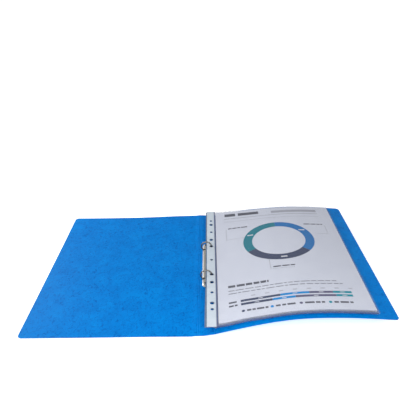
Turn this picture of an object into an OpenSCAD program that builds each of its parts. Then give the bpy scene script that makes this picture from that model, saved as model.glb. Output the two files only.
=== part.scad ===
// Two-ring A4 binder in one folded sheet of pressboard, lying open with a stack of punched
// pockets on its rings. X runs across the spine, Y along it, and Z is up. The origin is on the
// table under the middle of the spine.

/* [Cover board] */
// Length of the covers along the spine
cover_length = 320; // [310:1:325]
// Width of each cover from its crease to its fore edge
cover_width = 242; // [236:1:250]
// Thickness of the pressboard
board_t = 0.6; // [0.5:0.05:0.8]
// Distance between the two creases
spine_width = 25; // [25:0.1:27]
// Radius of the corners at the fore edges
corner_radius = 6; // [3:0.5:12]

/* [Curve of the back cover] */
// Height of the crest of the arched back cover above the table
crest_height = 25; // [20:0.5:28]
// Distance from the spine's centre to that crest
crest_x = 160; // [150:1:170]
// Height of the fore edge above the table
fore_height = 19.5; // [18:0.5:22]
// How far the foot end is lifted and the head end lowered
twist_rise = 5; // [3:0.5:5]

/* [Ring mechanism] */
// Distance between the two rings
ring_spacing = 80; // [80:1:80]
// Radius of a ring at the middle of its wire
ring_radius = 8.6; // [8.4:0.1:8.8]
// Thickness of the ring wire
wire_d = 2.25; // [2:0.05:2.4]
// Height of the ring centres above the table
ring_centre_z = 11.8; // [11.6:0.1:12]
// Length of the mechanism's housing
housing_length = 118; // [116:1:130]
// Width of the housing
housing_width = 12.8; // [12.6:0.1:13.4]
// Angle of the hinge plates below level when the rings are shut
plate_angle = 5; // [4:0.5:5]
// Distance between the two rivets
rivet_spacing = 106; // [104:1:107]

/* [Pockets] */
// Distance between one pocket and the next in the stack
pocket_pitch = 0.95; // [0.9:0.05:1]
// Length of a pocket
pocket_length = 308; // [304:1:310]
// Width of the punched strip
strip_width = 12.3; // [12:0.1:12.6]
// Width of a sheet of paper
sheet_width = 210; // [210:1:210]
// Length of a sheet of paper
sheet_length = 297; // [297:1:297]

/* [Hidden] */

// Colours
board_blue = [0.05, 0.45, 0.78];
nickel = [0.80, 0.80, 0.76];
film_clear = [0.80, 0.85, 0.92, 0.5];
strip_white = [0.86, 0.91, 0.94];
paper_white = [0.93, 0.93, 0.97];

// Spine: its underside stands on the rivet heads
rivet_head_h = 1.0;
spine_z = rivet_head_h;
spine_top = spine_z + board_t;
crease_x = spine_width / 2;
crease_gap = 0.1;
panel_x = crease_x - crease_gap / 2;
cover_x = crease_x + crease_gap / 2;
fore_x = crease_x + cover_width;
ramp_length = 9;
twist_length = 125;
cover_cells = 20;
corner_cells = 4;
row_cells = 4;

// Housing: an arched channel over the two hinge plates
housing_t = 0.6;
housing_top = 5.5;
housing_arc = 13;
lip_height = 0.5;
lip_reach = 1.3;
end_cap_radius = 4.2;
slot_width = 3.2;
slot_inner_x = 1.6;

// Hinge plates: they rock in the housing's side grooves
plate_t = 0.7;
pivot_z = 2.9;
pivot_x = housing_width / 2 - housing_t - 0.15;
plate_width = pivot_x - 0.1;
plate_length = 92;
stake_x = 3.3;
stake_depth = 0.6;
press = 0.01;
tip_gap_angle = 0.15;

// Rivets: hollow, with a round head outside and a rolled rim on the housing
rivet_shank_r = 2.6;
rivet_bore_r = 1.9;
rivet_head_r = 4.0;
rivet_rim_r = 3.6;
rivet_rim_h = 0.5;
rivet_play = 0.05;

// Pockets: pocket 1 lies lowest
film_t = 0.1;
pocket_t = 0.62;
strip_t = 0.3;
paper_t = 0.12;
weld = 2;
stack_gap = 1.2;
stack_low_z = ring_centre_z - 2.1;
hole_x = 8.15;
hole_shift = 0.11;
hole_to_edge = 6.8;
settle_x = 95;
large_hole_r = 3;
small_hole_r = 2.2;
large_holes = [ring_spacing / 2, 60, 107.5];
small_holes = [84, 120.5];
pocket_cells = 20;

// Evenly spaced values from a to b
function spread(a, b, cells) = [for (i = [0:cells]) a + (b - a) * i / cells];

// Smooth step from 0 to 1
function ease(t) = let (u = min(1, max(0, t))) u * u * (3 - 2 * u);

// How far each end of the back cover is off its middle line, at x
function twist_at(x) = twist_rise * ease((x - crease_x) / twist_length);

// Underside of the back cover along its middle line: a quarter wave up to the crest, then a fall
function back_middle(x) = x < crest_x
    ? spine_z + (crest_height - spine_z) * sin(90 * (x - crease_x) / (crest_x - crease_x))
    : crest_height - (crest_height - fore_height) * (1 - cos(90 * (x - crest_x) / (fore_x - crest_x)));

// Underside of the back cover anywhere
function back_low(x, y) = back_middle(x) - twist_at(x) * y / (cover_length / 2);

// Underside of the front cover: it comes down from the spine to the table
function front_low(x, y) = spine_z * (1 - ease((x - cover_x) / ramp_length));

// Half the length of a cover at x, less near the rounded corners
function cover_half(x) = let (d = x - (fore_x - corner_radius))
    cover_length / 2 - (d > 0 ? corner_radius - sqrt(max(0, pow(corner_radius, 2) - d * d)) : 0);

// Places of a cover's cross sections, closer together round the corners
function cover_stations() = concat(
    spread(cover_x, cover_x + ramp_length, 4),
    [for (i = [1:cover_cells]) cover_x + ramp_length
        + (fore_x - corner_radius - cover_x - ramp_length) * i / cover_cells],
    [for (k = [1:corner_cells]) fore_x - corner_radius + corner_radius * sin(90 * k / corner_cells)]);

// Left edge of a pocket's film, where its strip ends
function film_x(k) = hole_x + hole_shift * k - hole_to_edge + strip_width;

// Underside of the strip of pocket k, counted from 0
function strip_low(k) = stack_low_z + pocket_pitch * k;

// Underside of pocket k: level at the strip, then down onto the back cover
function pocket_low(k, x, y) = let (
    start = film_x(k),
    rest_start = back_low(start, 0) + board_t + stack_gap,
    lift = stack_low_z - rest_start,
    s = min(1, (x - start) / (settle_x - start)))
    back_low(x, y * ease((x - start) / 20)) + board_t + stack_gap + lift * (1 - s) * (1 - s)
        + pocket_pitch * k;

// Two triangles for each cell of a grid of points, turning clockwise seen from above. p(i, j) is
// the number of the point at station i and row j.
function facing_up(p, first, last, rows) = [
    for (i = [first:last - 1], j = [0:rows - 1], half = [0, 1])
        half == 0 ? [p(i, j), p(i, j + 1), p(i + 1, j + 1)] : [p(i, j), p(i + 1, j + 1), p(i + 1, j)]];

// The same cells seen from below
function facing_down(p, first, last, rows) = [
    for (face = facing_up(p, first, last, rows)) [face[2], face[1], face[0]]];

// Upright faces between grid low and grid high, along row j, looking towards the foot
function foot_wall(low, high, first, last, j) = [
    for (i = [first:last - 1]) [low(i, j), high(i, j), high(i + 1, j), low(i + 1, j)]];

// Upright faces along row j, looking towards the head
function head_wall(low, high, first, last, j) = [
    for (i = [first:last - 1]) [low(i + 1, j), high(i + 1, j), high(i, j), low(i, j)]];

// Upright faces across station i, looking towards the front cover
function left_wall(low, high, i, rows) = [
    for (j = [0:rows - 1]) [low(i, j + 1), high(i, j + 1), high(i, j), low(i, j)]];

// Upright faces across station i, looking towards the fore edge
function right_wall(low, high, i, rows) = [
    for (j = [0:rows - 1]) [low(i, j), high(i, j), high(i, j + 1), low(i, j + 1)]];

// A thin curved sheet: its underside is low(x, y) over the stations xs, between half(x) each side
module curved_sheet(xs, half, low, t) {
    last = len(xs) - 1;
    rows = row_cells;
    under = [for (x = xs, j = [0:rows]) let (y = half(x) * (2 * j / rows - 1)) [x, y, low(x, y)]];
    bottom = function(i, j) i * (rows + 1) + j;
    top = function(i, j) len(under) + bottom(i, j);
    polyhedron(
        points = concat(under, [for (p = under) p + [0, 0, t]]),
        faces = concat(
            facing_up(top, 0, last, rows),
            facing_down(bottom, 0, last, rows),
            foot_wall(bottom, top, 0, last, 0),
            head_wall(bottom, top, 0, last, rows),
            left_wall(bottom, top, 0, rows),
            right_wall(bottom, top, last, rows)));
}

// A flat envelope of two films, welded on three sides and open at its head end. Its cavity runs
// from the second station of xs to the last but one.
module open_pocket(xs, half, low, t, wall, weld_width) {
    last = len(xs) - 1;
    rows = row_cells;
    under = [for (x = xs, j = [0:rows]) let (y = half * (2 * j / rows - 1)) [x, y, low(x, y)]];
    cavity = [for (i = [1:last - 1], j = [0:rows])
        let (y = -half + weld_width + (2 * half - weld_width) * j / rows) [xs[i], y, low(xs[i], y)]];
    bottom = function(i, j) i * (rows + 1) + j;
    top = function(i, j) len(under) + bottom(i, j);
    floor_of = function(i, j) 2 * len(under) + bottom(i - 1, j);
    roof_of = function(i, j) 2 * len(under) + len(cavity) + bottom(i - 1, j);
    polyhedron(
        points = concat(under, [for (p = under) p + [0, 0, t]],
            [for (p = cavity) p + [0, 0, wall]], [for (p = cavity) p + [0, 0, t - wall]]),
        faces = concat(
            facing_up(top, 0, last, rows),
            facing_down(bottom, 0, last, rows),
            foot_wall(bottom, top, 0, last, 0),
            left_wall(bottom, top, 0, rows),
            right_wall(bottom, top, last, rows),
            facing_up(floor_of, 1, last - 1, rows),
            facing_down(roof_of, 1, last - 1, rows),
            head_wall(floor_of, roof_of, 1, last - 1, 0),
            right_wall(floor_of, roof_of, 1, rows),
            left_wall(floor_of, roof_of, last - 1, rows),
            head_wall(bottom, floor_of, 1, last - 1, rows),
            head_wall(roof_of, top, 1, last - 1, rows),
            [[bottom(0, rows), bottom(1, rows), floor_of(1, rows), roof_of(1, rows),
                top(1, rows), top(0, rows)]],
            [[bottom(last, rows), top(last, rows), top(last - 1, rows), roof_of(last - 1, rows),
                floor_of(last - 1, rows), bottom(last - 1, rows)]]));
}

// The front cover lies flat on the table, to the left
module front_cover() {
    color(board_blue)
        mirror([1, 0, 0])
            curved_sheet(cover_stations(), function(x) cover_half(x), function(x, y) front_low(x, y), board_t);
}

// The back cover arches up to the right
module back_cover() {
    color(board_blue)
        curved_sheet(cover_stations(), function(x) cover_half(x), function(x, y) back_low(x, y), board_t);
}

// The spine between the creases, with a bore for each rivet
module spine_panel() {
    color(board_blue)
        difference() {
            translate([-panel_x, -cover_length / 2, spine_z])
                cube([2 * panel_x, cover_length, board_t]);
            for (side = [-1, 1])
                translate([0, side * rivet_spacing / 2, 0])
                    cylinder(h = 2 * spine_top, r = rivet_shank_r + rivet_play, $fn = 64);
        }
}

// Cross section of the housing's outside, or of its inside when shrunk by t
module housing_section(t) {
    intersection() {
        translate([0, housing_top - housing_arc])
            circle(r = housing_arc - t, $fn = 128);
        translate([t - housing_width / 2, spine_top])
            square([housing_width - 2 * t, housing_top - spine_top]);
    }
}

// Outline of the housing seen from above, with rounded ends
module housing_outline() {
    reach = housing_length / 2 - end_cap_radius;
    side_end = reach - end_cap_radius / 2;
    polygon([
        [housing_width / 2, -side_end],
        [housing_width / 2, side_end],
        [end_cap_radius, reach],
        [-end_cap_radius, reach],
        [-housing_width / 2, side_end],
        [-housing_width / 2, -side_end],
        [-end_cap_radius, -reach],
        [end_cap_radius, -reach]
    ]);
    for (side = [-1, 1])
        translate([0, side * reach])
            circle(r = end_cap_radius, $fn = 64);
}

// The arched nickel cover of the mechanism, with a slot for each ring and a bore for each rivet
module ring_housing() {
    color(nickel)
        difference() {
            intersection() {
                union() {
                    rotate([90, 0, 0])
                        linear_extrude(height = housing_length, center = true)
                            difference() {
                                housing_section(0);
                                housing_section(housing_t);
                            }
                    for (side = [-1, 1])
                        translate([side * (housing_width / 2 - lip_reach / 2) - lip_reach / 2,
                            -housing_length / 2, spine_top])
                            cube([lip_reach, housing_length, lip_height]);
                }
                linear_extrude(height = housing_top + 1)
                    housing_outline();
            }
            for (side = [-1, 1], hand = [-1, 1])
                translate([hand * (slot_inner_x + housing_width / 2) - housing_width / 2,
                    side * ring_spacing / 2 - slot_width / 2, pivot_z + plate_t])
                    cube([housing_width, slot_width, housing_top]);
            for (side = [-1, 1])
                translate([0, side * rivet_spacing / 2, 0])
                    cylinder(h = 2 * housing_top, r = rivet_shank_r + rivet_play, $fn = 64);
        }
}

// The right-hand hinge plate, sloping down to the middle
module hinge_plate() {
    translate([pivot_x, 0, pivot_z])
        rotate([0, -plate_angle, 0])
            translate([-plate_width, -plate_length / 2, -plate_t / 2])
                cube([plate_width, plate_length, plate_t]);
}

// A hinge plate with the bores that its two half rings are staked into
module bored_plate() {
    difference() {
        hinge_plate();
        for (side = [-1, 1])
            translate([stake_x, side * ring_spacing / 2, 0])
                cylinder(h = housing_top, r = wire_d / 2 - press, $fn = 64);
    }
}

module right_hinge_plate() {
    color(nickel)
        bored_plate();
}

module left_hinge_plate() {
    color(nickel)
        mirror([1, 0, 0])
            bored_plate();
}

// The right-hand half of a ring, from its tip at the top down to its stake in the plate
module half_ring(y) {
    start_angle = -acos(stake_x / ring_radius);
    bend_z = ring_centre_z + ring_radius * sin(start_angle);
    stake_z = pivot_z - (pivot_x - stake_x) * tan(plate_angle) - stake_depth;
    translate([0, y, ring_centre_z])
        rotate([90, 0, 0])
            rotate([0, 0, start_angle])
                rotate_extrude(angle = 90 - tip_gap_angle - start_angle, $fn = 96)
                    translate([ring_radius, 0])
                        circle(d = wire_d, $fn = 48);
    translate([stake_x, y, bend_z])
        sphere(d = wire_d, $fn = 48);
    translate([stake_x, y, stake_z])
        cylinder(h = bend_z - stake_z, d = wire_d, $fn = 48);
}

module foot_ring_right() {
    color(nickel)
        half_ring(-ring_spacing / 2);
}

module head_ring_right() {
    color(nickel)
        half_ring(ring_spacing / 2);
}

module foot_ring_left() {
    color(nickel)
        mirror([1, 0, 0])
            half_ring(-ring_spacing / 2);
}

module head_ring_left() {
    color(nickel)
        mirror([1, 0, 0])
            half_ring(ring_spacing / 2);
}

// A hollow rivet: round head under the spine, shank, and a rim rolled over the housing
module hollow_rivet(y) {
    fillet = rivet_head_h / 2;
    translate([0, y, 0])
        rotate_extrude($fn = 96)
            difference() {
                union() {
                    translate([rivet_bore_r, 0])
                        square([rivet_shank_r - rivet_bore_r, housing_top + rivet_rim_h]);
                    translate([rivet_bore_r, 0])
                        square([rivet_head_r - fillet - rivet_bore_r, rivet_head_h]);
                    translate([rivet_head_r - fillet, fillet])
                        circle(r = fillet, $fn = 48);
                    translate([rivet_bore_r, housing_top])
                        square([rivet_rim_r - rivet_rim_h / 2 - rivet_bore_r, rivet_rim_h]);
                    translate([rivet_rim_r - rivet_rim_h / 2, housing_top + rivet_rim_h / 2])
                        circle(d = rivet_rim_h, $fn = 48);
                }
            }
}

module foot_rivet() {
    color(nickel)
        hollow_rivet(-rivet_spacing / 2);
}

module head_rivet() {
    color(nickel)
        hollow_rivet(rivet_spacing / 2);
}

// The white punched strip along the spine side of pocket k
module punched_strip(k) {
    holes = hole_x + hole_shift * k;
    low = strip_low(k);
    color(strip_white)
        difference() {
            translate([holes - hole_to_edge, -pocket_length / 2, low])
                cube([strip_width, pocket_length, strip_t]);
            translate([holes, 0, low - 1])
                cylinder(h = strip_t + 2, r = small_hole_r, $fn = 48);
            for (side = [-1, 1], y = large_holes)
                translate([holes, side * y, low - 1])
                    cylinder(h = strip_t + 2, r = large_hole_r, $fn = 64);
            for (side = [-1, 1], y = small_holes)
                translate([holes, side * y, low - 1])
                    cylinder(h = strip_t + 2, r = small_hole_r, $fn = 48);
        }
}

module strip_1() {
    punched_strip(0);
}

module strip_2() {
    punched_strip(1);
}

module strip_3() {
    punched_strip(2);
}

module strip_4() {
    punched_strip(3);
}

module strip_5() {
    punched_strip(4);
}

// The clear film envelope of pocket k
module film_pocket(k) {
    start = film_x(k);
    end = start + 2 * weld + sheet_width + 2;
    xs = concat([start], spread(start + weld, end - weld, pocket_cells), [end]);
    color(film_clear)
        open_pocket(xs, pocket_length / 2, function(x, y) pocket_low(k, x, y), pocket_t, film_t, weld);
}

module pocket_1() {
    film_pocket(0);
}

module pocket_2() {
    film_pocket(1);
}

module pocket_3() {
    film_pocket(2);
}

module pocket_4() {
    film_pocket(3);
}

module pocket_5() {
    film_pocket(4);
}

// The A4 sheet inside pocket k
module paper_sheet(k) {
    start = film_x(k) + weld + 1;
    color(paper_white)
        curved_sheet(spread(start, start + sheet_width, pocket_cells), function(x) sheet_length / 2,
            function(x, y) pocket_low(k, x, y) + (pocket_t - paper_t) / 2, paper_t);
}

module sheet_1() {
    paper_sheet(0);
}

module sheet_2() {
    paper_sheet(1);
}

module sheet_3() {
    paper_sheet(2);
}

module sheet_4() {
    paper_sheet(3);
}

module sheet_5() {
    paper_sheet(4);
}

front_cover();
spine_panel();
back_cover();
ring_housing();
left_hinge_plate();
right_hinge_plate();
foot_ring_left();
foot_ring_right();
head_ring_left();
head_ring_right();
foot_rivet();
head_rivet();
strip_1();
strip_2();
strip_3();
strip_4();
strip_5();
pocket_1();
pocket_2();
pocket_3();
pocket_4();
pocket_5();
sheet_1();
sheet_2();
sheet_3();
sheet_4();
sheet_5();
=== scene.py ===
"""A two-ring A4 pressboard binder, open on a table with a stack of punched pockets on its rings."""
import math
import random

import bmesh
import bpy
from mathutils import Matrix, Vector, noise


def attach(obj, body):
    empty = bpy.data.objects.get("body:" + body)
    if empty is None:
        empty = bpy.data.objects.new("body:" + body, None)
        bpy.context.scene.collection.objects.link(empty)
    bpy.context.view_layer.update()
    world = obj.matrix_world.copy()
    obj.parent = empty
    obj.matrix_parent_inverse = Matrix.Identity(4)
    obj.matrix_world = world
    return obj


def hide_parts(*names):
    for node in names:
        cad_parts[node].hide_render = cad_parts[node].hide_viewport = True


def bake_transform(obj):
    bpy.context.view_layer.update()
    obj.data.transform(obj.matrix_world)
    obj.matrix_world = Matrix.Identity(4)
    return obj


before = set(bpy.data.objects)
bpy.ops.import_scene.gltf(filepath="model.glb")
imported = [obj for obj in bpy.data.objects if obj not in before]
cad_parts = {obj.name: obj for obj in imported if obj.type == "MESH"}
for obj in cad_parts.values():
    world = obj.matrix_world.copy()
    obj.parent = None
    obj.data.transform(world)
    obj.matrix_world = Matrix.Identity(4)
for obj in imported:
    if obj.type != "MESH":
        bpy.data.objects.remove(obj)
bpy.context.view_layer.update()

MM = 0.001

# ---------------- sizes in mm and counts, the same as in the CAD model
COVER_LENGTH = 320
COVER_WIDTH = 242
BOARD_T = 0.6
CREASE_X = 12.5
CORNER_R = 6
SPINE_Z = 1.0
SPINE_TOP = SPINE_Z + BOARD_T
FORE_X = CREASE_X + COVER_WIDTH
RAMP_LENGTH = 9
CREST_Z = 25
CREST_X = 160
FORE_Z = 19.5
TWIST_RISE = 5
TWIST_LENGTH = 125

RING_R = 8.6
WIRE_R = 1.125
RING_Z = 11.8
RING_Y = 40
RIVET_Y = 53
HOUSING_HALF_L = 59
HOUSING_HALF_W = 6.4
HOUSING_TOP = 5.5

POCKETS = 5
POCKET_PITCH = 0.95
POCKET_T = 0.62
POCKET_HALF_L = 154
STACK_GAP = 1.2
STACK_LOW_Z = 9.7
HOLE_X = 8.15
HOLE_SHIFT = 0.11
LARGE_HOLES = (40, 60, 107.5)
SMALL_HOLES = (0, 84, 120.5)
SETTLE_X = 95
WELD = 2
SHEET_W = 210
SHEET_L = 297
PAPER_T = 0.12

# ---------------- sizes in mm that differ from the CAD model's, which follow each in brackets
HOUSING_T = 0.45  # (0.6) leaves room for the plates when the rings open
LARGE_HOLE_R = 3.2  # (3) leaves room for the opening rings
SMALL_HOLE_R = 2.4  # (2.2)
STRIP_T = 0.16  # (0.3)
STRIP_WIDTH = 13.1  # (12.3)
HOLE_TO_EDGE = 7.6  # (6.8)
FILM_T = 0.08  # (0.1)

# ---------------- sizes in mm and counts that only the visible pieces have
STRIP_FAN = 0.65
STRIP_PITCH = 0.45
FOOT_SQUEEZE = 0.18
FOOT_STAGGER = 0.35
FILM_EASE = 20
FILM_ROOM = 2
WELD_STEPS = (0, 0.6, 1.2, 1.8, 2.4, 3.0)
WELD_CELLS = 3
WELD_FLAT = 0.6
WELD_RISE = 2.4
WELD_HALF_T = 0.07
SHEET_ROWS = 60


def ease(t):
    """A smooth step from 0 to 1 as t goes from 0 to 1."""
    u = min(1.0, max(0.0, t))
    return u * u * (3 - 2 * u)


def grow(v, start, length):
    """A smooth step from 0 to 1 that begins where v is start and takes length."""
    return ease((v - start) / length)


# ---------------- surfaces
def twist_at(x):
    """How far the foot end of the back cover is lifted and its head end lowered, at x."""
    return TWIST_RISE * grow(x, CREASE_X, TWIST_LENGTH)


def back_middle(x):
    """Underside of the back cover midway along it: up to the crest, then down to the fore edge."""
    if x < CREST_X:
        turn = math.pi / 2 * (x - CREASE_X) / (CREST_X - CREASE_X)
        return SPINE_Z + (CREST_Z - SPINE_Z) * math.sin(turn)
    turn = math.pi / 2 * (x - CREST_X) / (FORE_X - CREST_X)
    return CREST_Z - (CREST_Z - FORE_Z) * (1 - math.cos(turn))


def back_low(x, y):
    """Underside of the back cover."""
    return back_middle(x) - twist_at(x) * y / (COVER_LENGTH / 2)


def film_x(k):
    """Where pocket k's strip ends and its film begins."""
    return HOLE_X + HOLE_SHIFT * k - HOLE_TO_EDGE + STRIP_WIDTH


def film_end(k):
    """Where pocket k's film ends, near the fore edge."""
    return film_x(k) + 2 * WELD + SHEET_W + FILM_ROOM


def pocket_low(k, x, y):
    """Underside of pocket k as in the CAD: level at the rings, then down onto the board."""
    start = film_x(k)
    rest_start = back_low(start, 0) + BOARD_T + STACK_GAP
    lift = STACK_LOW_Z - rest_start
    s = min(1.0, max(0.0, (x - start) / (SETTLE_X - start)))
    along = y * grow(x, start, FILM_EASE)
    return back_low(x, along) + BOARD_T + STACK_GAP + lift * (1 - s) ** 2 + POCKET_PITCH * k


def cover_half(x):
    """Half the length of a cover at x, less where its corners are rounded."""
    d = abs(x) - (FORE_X - CORNER_R)
    inset = CORNER_R - math.sqrt(max(0.0, CORNER_R ** 2 - d * d)) if d > 0 else 0.0
    return COVER_LENGTH / 2 - inset


WAVE_ACROSS = 95.0
WAVE_ALONG = 110.0
WAVE_DRIFT = 0.37


def slow_wave(x, y, seed):
    """A gentle unevenness between 0 and 1, as card and film have."""
    place = Vector((x / WAVE_ACROSS + seed, y / WAVE_ALONG - seed, seed * WAVE_DRIFT))
    return 0.5 + 0.5 * noise.noise(place)


# ---------------- materials
MIX_FACTOR, MIX_A, MIX_B, MIX_RESULT = 0, 6, 7, 2


def new_material(name):
    """A material with nodes, its node tree and its shader."""
    material = bpy.data.materials.new(name)
    material.use_nodes = True
    tree = material.node_tree
    return material, tree, tree.nodes["Principled BSDF"]


def set_inputs(node, **values):
    """Sets a node's inputs, whose names are written with _ for a space."""
    for name, value in values.items():
        node.inputs[name.replace("_", " ")].default_value = value


def coordinates(tree, scale=(1, 1, 1)):
    """The object's own coordinates in millimetres, scaled."""
    texture = tree.nodes.new("ShaderNodeTexCoord")
    mapping = tree.nodes.new("ShaderNodeMapping")
    mapping.inputs["Scale"].default_value = [s / MM for s in scale]
    tree.links.new(texture.outputs["Object"], mapping.inputs["Vector"])
    return mapping.outputs["Vector"]


def noise_node(tree, vector, scale, detail, roughness=0.5, distortion=0.0):
    """The value of a noise texture."""
    node = tree.nodes.new("ShaderNodeTexNoise")
    set_inputs(node, Scale=scale, Detail=detail, Roughness=roughness, Distortion=distortion)
    tree.links.new(vector, node.inputs["Vector"])
    return node.outputs["Fac"]


def ramp(tree, value, stops):
    """A colour ramp: stops are (position, (r, g, b))."""
    node = tree.nodes.new("ShaderNodeValToRGB")
    elements = node.color_ramp.elements
    while len(elements) < len(stops):
        elements.new(0.5)
    for element, (place, colour) in zip(elements, stops):
        element.position = place
        element.color = (*colour, 1)
    tree.links.new(value, node.inputs["Fac"])
    return node.outputs["Color"]


def tint(tree, shader, value, dark, light):
    """Base colour from dark to light as a value rises."""
    colour = ramp(tree, value, [(0.3, dark), (0.7, light)])
    tree.links.new(colour, shader.inputs["Base Color"])


def multiply(tree, factor, a, b):
    """Colour a multiplied by colour b, as strongly as factor says."""
    node = tree.nodes.new("ShaderNodeMix")
    node.data_type = "RGBA"
    node.blend_type = "MULTIPLY"
    node.inputs[MIX_FACTOR].default_value = factor
    tree.links.new(a, node.inputs[MIX_A])
    tree.links.new(b, node.inputs[MIX_B])
    return node.outputs[MIX_RESULT]


def between(tree, value, low, high):
    """Value, from 0 to 1, drawn out to run from low to high."""
    node = tree.nodes.new("ShaderNodeMath")
    node.operation = "MULTIPLY_ADD"
    tree.links.new(value, node.inputs[0])
    node.inputs[1].default_value = high - low
    node.inputs[2].default_value = low
    return node.outputs[0]


def bump(tree, shader, height, distance_mm, strength, below=None):
    """Relief of a height on a shader, laid over the relief below it."""
    node = tree.nodes.new("ShaderNodeBump")
    set_inputs(node, Strength=strength, Distance=distance_mm * MM)
    tree.links.new(height, node.inputs["Height"])
    if below is not None:
        tree.links.new(below, node.inputs["Normal"])
    tree.links.new(node.outputs["Normal"], shader.inputs["Normal"])
    return node.outputs["Normal"]


def board_material():
    """Mottled blue pressboard: slow clouds, small dark flecks and a pressed, fibrous grain."""
    material, tree, shader = new_material("blue_pressboard")
    clouds = noise_node(tree, coordinates(tree), 0.035, 4, 0.6, 0.4)
    flecks = noise_node(tree, coordinates(tree, (1.0, 0.8, 1.0)), 0.24, 3, 0.62, 1.2)
    fibres = noise_node(tree, coordinates(tree, (1.0, 0.55, 1.0)), 0.75, 4, 0.65, 2.4)
    blues = [(0.32, (0.0, 0.182, 0.600)), (0.52, (0.0, 0.206, 0.655)), (0.70, (0.0, 0.234, 0.700))]
    fleck_shades = [(0.32, (0.5, 0.56, 0.68)), (0.45, (0.94, 0.95, 0.97)), (0.66, (1.0, 1.08, 1.05))]
    fibre_shades = [(0.34, (0.80, 0.83, 0.88)), (0.50, (1.0, 1.0, 1.0)), (0.70, (1.0, 1.07, 1.05))]
    colour = multiply(tree, 0.85, ramp(tree, clouds, blues), ramp(tree, flecks, fleck_shades))
    colour = multiply(tree, 0.80, colour, ramp(tree, fibres, fibre_shades))
    tree.links.new(colour, shader.inputs["Base Color"])
    tree.links.new(between(tree, fibres, 0.32, 0.62), shader.inputs["Roughness"])
    low = bump(tree, shader, flecks, 0.22, 0.6)
    bump(tree, shader, fibres, 0.10, 0.6, below=low)
    set_inputs(shader, IOR=1.25, Specular_Tint=(0.05, 0.45, 1.0, 1), Specular_IOR_Level=0.22)
    return material


def board_edge_material():
    """The cut edge of the pressboard: darker, rougher and layered."""
    material, tree, shader = new_material("blue_board_edge")
    layers = noise_node(tree, coordinates(tree, (0.15, 0.15, 9.0)), 1.0, 3, 0.6)
    tint(tree, shader, layers, (0.0, 0.070, 0.26), (0.002, 0.125, 0.42))
    set_inputs(shader, Roughness=0.75)
    bump(tree, shader, layers, 0.05, 0.5)
    return material


def nickel_material(name, colour, rough_low, rough_high, grain):
    """Nickel-plated steel with fine drawing marks and a slightly uneven polish."""
    material, tree, shader = new_material(name)
    marks = noise_node(tree, coordinates(tree, grain), 1.0, 4, 0.65)
    haze = noise_node(tree, coordinates(tree), 0.35, 3, 0.55)
    tint(tree, shader, haze, tuple(0.84 * c for c in colour), colour)
    set_inputs(shader, Metallic=1.0)
    tree.links.new(between(tree, marks, rough_low, rough_high), shader.inputs["Roughness"])
    bump(tree, shader, marks, 0.02, 0.25)
    return material


def paper_material(name, light, dark):
    """Uncoated office paper: a faint cloudiness and a fine tooth."""
    material, tree, shader = new_material(name)
    mm = coordinates(tree)
    cloud = noise_node(tree, mm, 0.05, 4, 0.6)
    tooth = noise_node(tree, mm, 2.6, 3, 0.6)
    tint(tree, shader, cloud, dark, light)
    set_inputs(shader, Roughness=0.8, Specular_IOR_Level=0.25)
    bump(tree, shader, tooth, 0.02, 0.3)
    return material


def ink_material(name, colour):
    """Printed ink: its colour with a slight uneven density."""
    material, tree, shader = new_material(name)
    density = noise_node(tree, coordinates(tree), 0.9, 3, 0.6)
    tint(tree, shader, density, tuple(0.88 * c for c in colour), colour)
    set_inputs(shader, Roughness=0.6, Specular_IOR_Level=0.15)
    return material


def film_material(name, colour, alpha, rough_low, rough_high):
    """Clear polypropylene: a glossy skin with slow ripples and a fine orange-peel."""
    material, tree, shader = new_material(name)
    ripple = noise_node(tree, coordinates(tree, (1.0, 0.55, 1.0)), 0.022, 3, 0.5, 0.6)
    peel = noise_node(tree, coordinates(tree), 0.55, 3, 0.6)
    set_inputs(shader, Base_Color=(*colour, 1), Alpha=alpha, IOR=1.49, Specular_IOR_Level=0.7)
    tree.links.new(between(tree, peel, rough_low, rough_high), shader.inputs["Roughness"])
    low = bump(tree, shader, ripple, 1.6, 0.35)
    bump(tree, shader, peel, 0.03, 0.25, below=low)
    return material


def strip_material(name, light, dark, alpha):
    """The punched strip: milky reinforced film, pressed with fine ribs along its length."""
    material, tree, shader = new_material(name)
    mm = coordinates(tree)
    ribs = tree.nodes.new("ShaderNodeTexWave")
    ribs.wave_type = "BANDS"
    ribs.bands_direction = "X"
    set_inputs(ribs, Scale=0.42, Distortion=0.25)
    tree.links.new(mm, ribs.inputs["Vector"])
    cloud = noise_node(tree, mm, 0.12, 3, 0.6)
    tint(tree, shader, cloud, dark, light)
    set_inputs(shader, Roughness=0.30, Alpha=alpha)
    bump(tree, shader, ribs.outputs["Fac"], 0.05, 0.4)
    return material


BOARD = board_material()
BOARD_EDGE = board_edge_material()
HOUSING_STEEL = nickel_material("nickel_housing", (0.80, 0.78, 0.72), 0.24, 0.40, (3.0, 0.05, 3.0))
PLATE_STEEL = nickel_material("nickel_plate", (0.70, 0.69, 0.66), 0.25, 0.42, (3.0, 0.05, 3.0))
# The rings' nickel is made far darker than the housing's: painted shade, for the dark surroundings the
# rings reflect.
SHADED_RING_NICKEL = nickel_material("nickel_ring_painted_shade", (0.23, 0.22, 0.205), 0.12, 0.24, (1.2, 1.2, 1.2))
# The rivets' nickel is made darker than the housing's: painted shade, in place of their bright highlight.
SHADED_RIVET_NICKEL = nickel_material("nickel_rivet_painted_shade", (0.42, 0.405, 0.37), 0.16, 0.30, (1.5, 1.5, 1.5))
PAPER = paper_material("sheet_paper", (0.635, 0.66, 0.745), (0.60, 0.625, 0.715))
FILM = film_material("pocket_film", (0.40, 0.44, 0.56), 0.045, 0.05, 0.16)
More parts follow.
